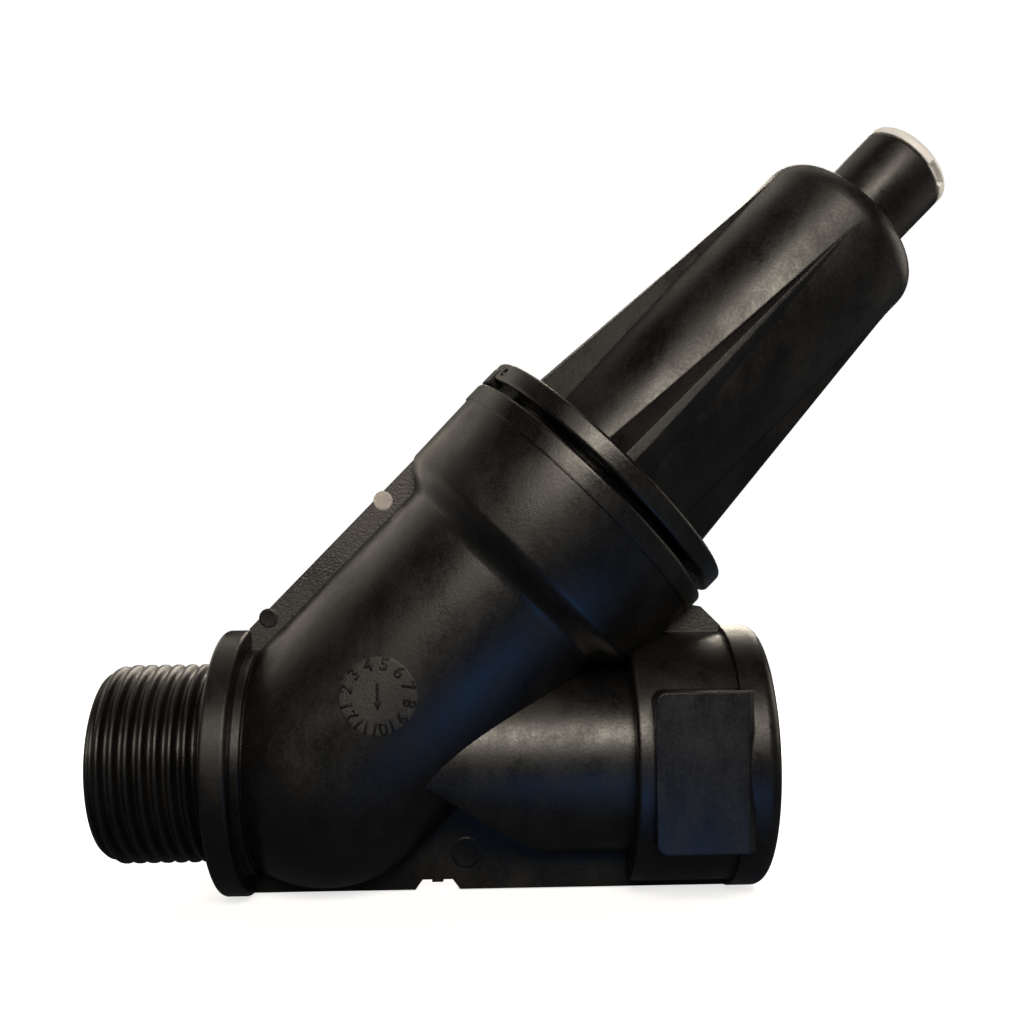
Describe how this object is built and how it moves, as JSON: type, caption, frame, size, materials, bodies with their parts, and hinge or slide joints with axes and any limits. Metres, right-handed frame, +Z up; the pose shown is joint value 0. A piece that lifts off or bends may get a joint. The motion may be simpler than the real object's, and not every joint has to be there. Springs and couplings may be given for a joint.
{
  "type": "water pressure regulator",
  "caption": "In-line Y-pattern plastic pressure regulator: threaded inlet and outlet, leaning spring bonnet held by a bayonet, and a push-in cap over the adjusting screw.",
  "frame": {"origin": "on the pipe's centre line, at the face of the collar where the inlet thread ends", "axes": "+X is the flow direction along the pipe, +Z is up, and the bonnet leans 45 degrees from +Z to +X"},
  "size_m": [0.1126, 0.041, 0.1015],
  "materials": {
    "black_nylon": "satin moulded glass-filled nylon",
    "white_cap": "satin moulded",
    "acetal": "smooth moulded",
    "bearing_plastic": "smooth waxy",
    "seal_rubber": "smooth",
    "stainless": "turned",
    "spring_steel": "drawn wire"
  },
  "bodies": {
    "valve_body": {"body": "black_nylon", "cage": "acetal", "cage_o_ring": "seal_rubber", "seat_ring": "stainless", "guide_bush": "bearing_plastic"},
    "bonnet_unit": {"bonnet": "black_nylon", "bonnet_o_ring": "seal_rubber", "thrust_washer": "bearing_plastic", "spring": "spring_steel"},
    "piston_unit": {"piston": "acetal", "piston_seal": "seal_rubber", "piston_wear_ring": "bearing_plastic", "stem": "stainless", "stem_nut": "stainless", "poppet": "acetal", "valve_disc": "seal_rubber", "poppet_nut": "stainless", "spring_washer": "stainless"},
    "adjuster": {"adjusting_screw": "stainless", "adjuster_o_ring": "seal_rubber"},
    "follower": {"spring_follower": "acetal"},
    "cap_unit": {"cap": "white_cap"}
  },
  "joints": [
    {"name": "bonnet_twist", "type": "hinge", "parent": "valve_body", "child": "bonnet_unit", "pos_m": [0.0133, 0, 0], "axis": [0.7071, 0, 0.7071], "range_deg": [0, 60]},
    {"name": "piston_lift", "type": "slide", "parent": "valve_body", "child": "piston_unit", "axis": [0.7071, 0, 0.7071], "range_m": [0, 0.0027], "stiffness_N_per_m": 2000, "deforming": ["spring"]},
    {"name": "adjuster_turn", "type": "hinge", "parent": "bonnet_unit", "child": "adjuster", "pos_m": [0.0133, 0, 0], "axis": [0.7071, 0, 0.7071], "range_deg": [-1080, 1080]},
    {"name": "follower_travel", "type": "slide", "parent": "bonnet_unit", "child": "follower", "axis": [0.7071, 0, 0.7071], "range_m": [-0.0045, 0.0045], "deforming": ["spring"]},
    {"name": "cap_pull", "type": "slide", "parent": "bonnet_unit", "child": "cap_unit", "axis": [0.7071, 0, 0.7071], "range_m": [0, 0.006]}
  ],
  "couplings": [
    {"joint": "follower_travel", "follows": "adjuster_turn", "m_per_rad": 0.00023873}
  ]
}
